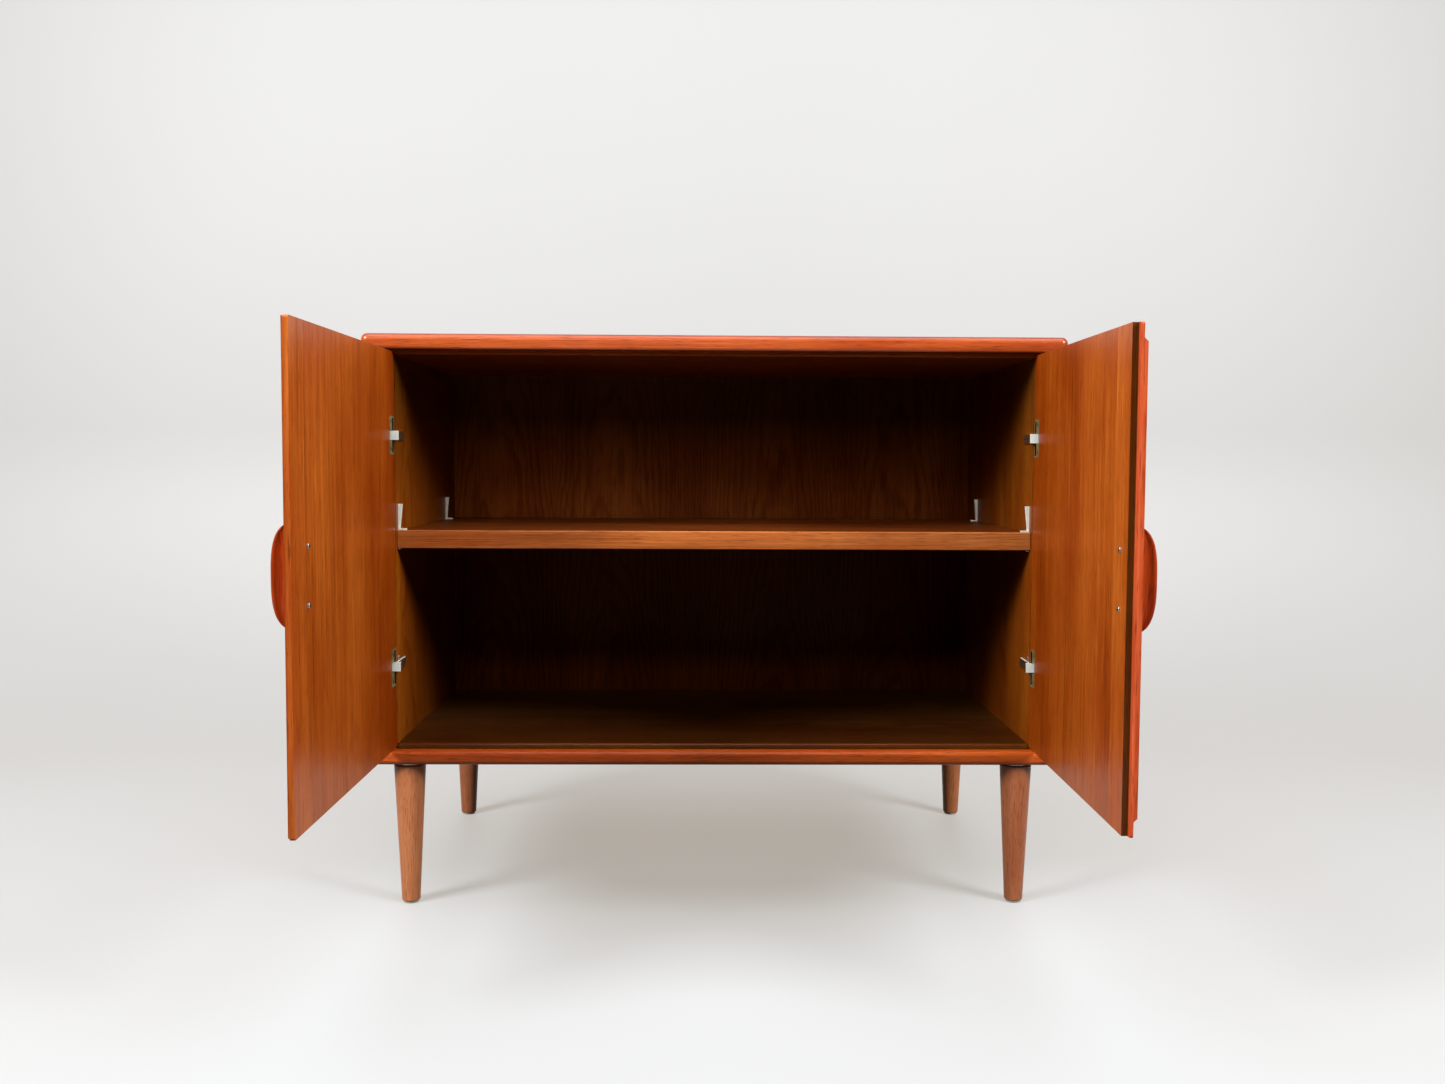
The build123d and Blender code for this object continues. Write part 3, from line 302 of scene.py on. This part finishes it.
SHINES = {INSIDE: 0.08, UNLIT: 0.08, EDGING: 0.35, LEG: 0.30, LEG_SHADY: 0.30}

for seed, (node, axis, tones, cathedral) in enumerate([
        ("top_panel", "x", VENEER, (0.19, 0)),
        ("bottom_panel", "x", UNLIT, (0.21, 0)),
        ("back_panel", "z", INSIDE, (0.24, 0)),
        ("back_floor_cleat", "x", VENEER, None),
        ("back_ceiling_cleat", "x", VENEER, None),
        ("left_side_panel", "z", VENEER, (0.23, 1)),
        ("right_side_panel", "z", VENEER, (0.20, 1)),
        ("left_side_lining", "z", LINING, (0.22, 1)),
        ("right_side_lining", "z", LINING, (0.25, 1)),
        ("shelf_panel", "x", INSIDE, (0.17, 0)),
        ("left_door_panel", "z", VENEER, None),
        ("right_door_panel", "z", VENEER, None),
        ("left_door_field", "z", VENEER, (0.21, 1)),
        ("right_door_field", "z", VENEER, (0.21, 1)),
        ("left_door_stile", "z", VENEER, None),
        ("right_door_stile", "z", VENEER, None),
        ("top_front_edge", "x", EDGING, None),
        ("top_back_edge", "x", EDGING, None),
        ("top_left_edge", "y", EDGING, None),
        ("top_right_edge", "y", EDGING, None),
        ("left_front_stile", "z", EDGING, None),
        ("right_front_stile", "z", EDGING, None),
        ("bottom_front_rail", "x", RAIL, None),
        ("top_stop_nose", "x", NOSE, None),
        ("floor_nose", "x", FLOOR_NOSE, None),
        ("shelf_front_edge", "x", SHELF, None),
        ("carcass_dowels", "x", VENEER, None),
        ("leg_front_left", "z", LEG, None),
        ("leg_front_right", "z", LEG_SHADY, None),
        ("leg_back_left", "z", LEG_SHADY, None),
        ("leg_back_right", "z", LEG, None)], start=1):
    paint(node, wood(node + "_wood", axis, tones, seed, cathedral,
                     contrast=0.62 if tones in (LEG, LEG_SHADY) else 0.85,
                     gloss=0.25 if tones is EDGING else 0.34, shine=SHINES.get(tones, 0.20)))

# The nickel and the bronze are only partly metallic, since the studio gives them little to mirror.
nickel = metal("nickel", tone(252, 252, 246), tone(236, 236, 226), 0.38, 0.1)
zinc = metal("zinc", tone(170, 168, 160), tone(134, 130, 120), 0.34)
# Painted shade: faces of the hinge arms and pins that look left or right are browned.
shade(nickel, "Normal", 0, 0.4, 0.8, tone(84, 52, 28), size=True)
nylon = moulded("nylon", tone(242, 240, 228), tone(226, 222, 208), 0.42)
glide = moulded("glide_plastic", tone(196, 190, 174), tone(168, 160, 142), 0.5)

# How much deeper than its nearest corner a cup plate's face lies, because the door is a little off
# square at rest.
PLATE_SLOPE = {"left": 0.0002, "right": 0.0008}

for node in nodes:
    if node.endswith("hinge_arm") or node.endswith("hinge_pins"):
        paint(node, nickel)
    elif node.endswith("screws") or node in ("leg_bolts", "leg_plates"):
        paint(node, zinc)
    elif node.endswith("hinge_cup"):
        bronze = metal(node + "_bronze", tone(160, 146, 98), tone(122, 108, 66), 0.36, 0.4)
        face = min(abs(corner[0]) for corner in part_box(node))
        face += PLATE_SLOPE["left" if node.startswith("left") else "right"]
        # Painted shade: below the plate's face, the inside of the cup and its trench are dark.
        shade(bronze, "Object", 0, face, face + 0.0004, tone(40, 32, 20), size=True)
        paint(node, bronze)
    elif node.startswith("shelf_clip"):
        paint(node, nylon)
paint("leg_glides", glide)

# ---------------------------------------------------------------- shade painted into the wood
# The wood isn't known to be darker in these places. The multipliers stand in for shade: low on the
# doors and by their hinges, high on the back and at its right, high and deep on the linings, on the
# underside of the top and along the upper round of its edging. The bottom is lightened at its back
# by painted light.
shelf_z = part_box("shelf_panel")[1][2]
for node in ("left_door_panel", "right_door_panel"):
    wood_used = material_of(node)
    shade(wood_used, "Object", 1, -0.34, -0.08, (0.74, 0.62, 0.34, 1))
    shade(wood_used, "Object", 2, 0.68, 0.25, (0.84, 0.78, 0.62, 1))
for node in ("top_front_edge", "top_left_edge", "top_right_edge", "top_back_edge"):
    wood_used = material_of(node)
    shade(wood_used, "Normal", 2, 0.30, 0.85, (0.50, 0.38, 0.28, 1))
# The lip on the right door's free edge is coloured redder than its stile. The dark line beside it
# and the one along the left door's stile are painted shade too.
STEP_DARK = (0.28, 0.30, 0.25)
LIP_RED = (1.25, 0.86, 2.2)
stile_wood = material_of("right_door_stile")
step_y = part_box("right_door_stile")[0][1] + 0.0095
shade(stile_wood, "Object", 1, step_y + 0.0010, step_y + 0.0006, (*STEP_DARK, 1))
shade(stile_wood, "Object", 1, step_y - 0.0010, step_y - 0.0030,
      (*(red / dark for red, dark in zip(LIP_RED, STEP_DARK)), 1))
field_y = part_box("right_door_field")[0][1]
shade(material_of("right_door_field"), "Object", 1, field_y + 0.0052,
      field_y + 0.0044, (1.15, 0.82, 2.0, 1))
joint_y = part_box("left_door_stile")[1][1]
shade(material_of("left_door_stile"), "Object", 1, joint_y - 0.0020,
      joint_y - 0.0006, (0.42, 0.36, 0.36, 1))
back_wood = material_of("back_panel")
shade(back_wood, "Object", 2, shelf_z + 0.01, shelf_z + 0.17, (0.16, 0.17, 0.3, 1))
shade(material_of("bottom_panel"), "Object", 1, 0.0, 0.3, (2.0, 2.8, 4.0, 1))
shade(back_wood, "Object", 0, -0.15, 0.25, (0.72, 0.72, 0.72, 1))
for node in ("left_side_lining", "right_side_lining"):
    wood_used = material_of(node)
    shade(wood_used, "Object", 2, shelf_z + 0.03, shelf_z + 0.20, (0.5, 0.6, 0.9, 1))
    shade(wood_used, "Object", 1, -0.02, 0.10, (0.62, 0.60, 0.6, 1))
shade(material_of("top_panel"), "Normal", 2, -0.2, -0.9, (0.3, 0.34, 0.5, 1))

# These nodes pass no diffuse light on, so the inside is darker than true bounces would leave it.
for node in ("left_side_lining", "right_side_lining", "bottom_panel", "top_panel",
             "back_panel", "left_door_panel", "right_door_panel", "left_door_stile",
             "right_door_stile", "top_stop_nose", "floor_nose", "shelf_front_edge"):
    nodes[node].visible_diffuse = False

# ---------------------------------------------------------------- door frames of reference
joints = {joint["child"]: joint for joint in record["behaviour"]["joints"]}


def door_matrix(body):
    """From a closed door's own axes (X to its free edge, -Y out) to the open door at rest."""
    joint = joints[body]
    side = -1 if joint["pos_m"][0] < 0 else 1
    turn = Matrix.Rotation(math.radians(side * joint["range_deg"][1]), 4, "Z")
    x, y, _ = joint["pos_m"]
    mirror = Matrix.Diagonal((-side, 1, 1, 1))
    return Matrix.Translation((x, y, 0)) @ turn @ mirror


def place_mesh(name, mesh, material, body, node):
    """Put a finished mesh in the scene for a CAD node that it stands for."""
    for face in mesh.polygons:
        face.use_smooth = True
    piece = bpy.data.objects.new(name, mesh)
    scene.collection.objects.link(piece)
    piece.data.materials.append(material)
    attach(piece, body)
    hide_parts(node)
    return piece


def finished(edit, name):
    """Turn a bmesh into a mesh with its normals outward."""
    bmesh.ops.recalc_face_normals(edit, faces=edit.faces)
    mesh = bpy.data.meshes.new(name)
    edit.to_mesh(mesh)
    edit.free()
    return mesh


# ---------------------------------------------------------------- carved pulls
PULL_SECTION = [(-1.0, 0.0), (-0.90, 0.10), (-0.72, 0.26), (-0.60, 0.42), (-0.56, 0.58),
                (-0.62, 0.72), (-0.70, 0.83), (-0.66, 0.92), (-0.46, 0.975), (-0.22, 0.995),
                (0.0, 1.0)]
PULL_STATIONS = 34
PULL_WIDEST = 0.0148
PULL_REACH = 0.025


def pull_mesh(name, centre, surface, middle, half_height):
    """A loaf of wood with hollow flanks and a thin rounded rim, in a door's own axes."""
    section = PULL_SECTION + [(-across, out) for across, out in PULL_SECTION[-2::-1]]
    edit = bmesh.new()
    rows = []
    for station in range(PULL_STATIONS + 1):
        angle = math.pi * station / PULL_STATIONS
        rise = -math.cos(angle)
        fall = min(abs(rise), 0.9985) ** 3.0
        reach = PULL_REACH * (1 - fall) ** (1 / 2.4)
        width = PULL_WIDEST * (0.30 + 0.70 * (reach / PULL_REACH) ** 0.55)
        row = []
        for across, out in section:
            row.append(edit.verts.new((centre + across * width, surface - out * reach,
                                       middle + rise * half_height)))
        rows.append(row)
    for lower, upper in zip(rows, rows[1:]):
        for index in range(len(section)):
            after = (index + 1) % len(section)
            edit.faces.new((lower[index], lower[after], upper[after], upper[index]))
    edit.faces.new(rows[0])
    edit.faces.new(rows[-1])
    return finished(edit, name)


for body, node in (("left_door", "left_door_handle"), ("right_door", "right_door_handle")):
    matrix = door_matrix(body)
    inverse = matrix.inverted()
    corners = [inverse @ Vector(corner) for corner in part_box(node)]
    low = [min(pair) for pair in zip(*corners)]
    high = [max(pair) for pair in zip(*corners)]
    mesh = pull_mesh(node + "_carved", (low[0] + high[0]) / 2, high[1] - 0.0001,
                     (low[2] + high[2]) / 2, (high[2] - low[2]) / 2)
    mesh.transform(matrix)
    material = wood(node + "_wood", "z", PULL, 40 + len(node), None, 0.30, 0.9, 0.5)
    pull = place_mesh(node + "_carved", mesh, material, body, node)
    smooth = pull.modifiers.new("smooth", "SUBSURF")
    smooth.levels = 2
    smooth.render_levels = 2

# ---------------------------------------------------------------- stage, light and camera
# The paper is a cool, dark base with a warm glow of its own. The glow keeps the floor pale, and
# shadows on it read softer and warmer than the lamps alone would draw them.
stage_tree = Tree("studio_paper")
stage_place = stage_tree.add("ShaderNodeTexCoord").outputs["Object"]
paper = stage_tree.noise(stage_place, (1.3, 1.3, 1.3), 3.0)
stage_tree.feed(stage_tree.shader.inputs["Base Color"],
                stage_tree.ramp(paper, [(0.3, (0.212, 0.232, 0.252, 1)),
                                        (0.7, (0.218, 0.239, 0.260, 1))]))
stage_tree.shader.inputs["Roughness"].default_value = 0.55
stage_tree.shader.inputs["Emission Color"].default_value = (0.385, 0.345, 0.300, 1)
stage_tree.shader.inputs["Emission Strength"].default_value = 1.0

edit = bmesh.new()
profile = [(-4.0, 0.0), (0.9, 0.0)]
BEND = 0.7
for step in range(1, 13):
    angle = math.pi / 2 * step / 12
    profile.append((0.9 + BEND * math.sin(angle), BEND * (1 - math.cos(angle))))
profile.append((1.6, 4.0))
previous = None
for y, z in profile:
    pair = (edit.verts.new((-6.0, y, z)), edit.verts.new((6.0, y, z)))
    if previous:
        edit.faces.new((previous[0], previous[1], pair[1], pair[0]))
    previous = pair
mesh = bpy.data.meshes.new("studio_floor")
edit.to_mesh(mesh)
edit.free()
for face in mesh.polygons:
    face.use_smooth = True
floor = bpy.data.objects.new("studio_floor", mesh)
floor.data.materials.append(stage_tree.material)
# The paper passes no diffuse light on, so its glow doesn't light the cabinet from below.
floor.visible_diffuse = False
scene.collection.objects.link(floor)

world = bpy.data.worlds.new("studio")
world.use_nodes = True
world.node_tree.nodes["Background"].inputs[0].default_value = (0.93, 0.97, 1.0, 1)
world.node_tree.nodes["Background"].inputs[1].default_value = 0.020
scene.world = world


def softbox(name, place, target, width, height, power):
    """A rectangular area light aimed at a point."""
    light = bpy.data.lights.new(name, "AREA")
    light.shape = "RECTANGLE"
    light.size = width
    light.size_y = height
    light.energy = power
    lamp = bpy.data.objects.new(name, light)
    direction = Vector(target) - Vector(place)
    turn = direction.to_track_quat("-Z", "Y").to_matrix().to_4x4()
    lamp.matrix_world = Matrix.Translation(place) @ turn
    scene.collection.objects.link(lamp)


softbox("softbox_over", (0, -0.55, 2.7), (0, -0.25, 0.4), 3.2, 1.8, 78)
softbox("softbox_left", (-2.25, -1.6, 2.15), (0, 0, 0.5), 1.0, 1.0, 128)
softbox("softbox_right", (2.25, -1.6, 2.15), (0, 0, 0.5), 1.0, 1.0, 112)
softbox("softbox_front", (-0.5, -3.0, 2.0), (0, 0, 0.7), 1.0, 0.25, 10)
softbox("softbox_wall", (0, 0.5, 3.6), (0, 1.5, 1.2), 4.0, 1.2, 22)

CAMERA_PLACE = (-0.0229, -1.866, 0.6175)
YAW, PITCH, ROLL = (math.radians(angle) for angle in (1.03, -3.42, 0.28))
ahead = Vector((math.sin(YAW) * math.cos(PITCH), math.cos(YAW) * math.cos(PITCH), math.sin(PITCH)))
level = Vector((math.cos(YAW), -math.sin(YAW), 0))
upright = level.cross(ahead)
right = level * math.cos(ROLL) + upright * math.sin(ROLL)
up = upright * math.cos(ROLL) - level * math.sin(ROLL)
camera_data = bpy.data.cameras.new("camera")
camera_data.lens = 33.35
camera_data.sensor_width = 36.0
camera_data.clip_start = 0.05
camera = bpy.data.objects.new("camera", camera_data)
turn = Matrix((right, up, -ahead)).transposed().to_4x4()
camera.matrix_world = Matrix.Translation(CAMERA_PLACE) @ turn
scene.collection.objects.link(camera)
scene.camera = camera
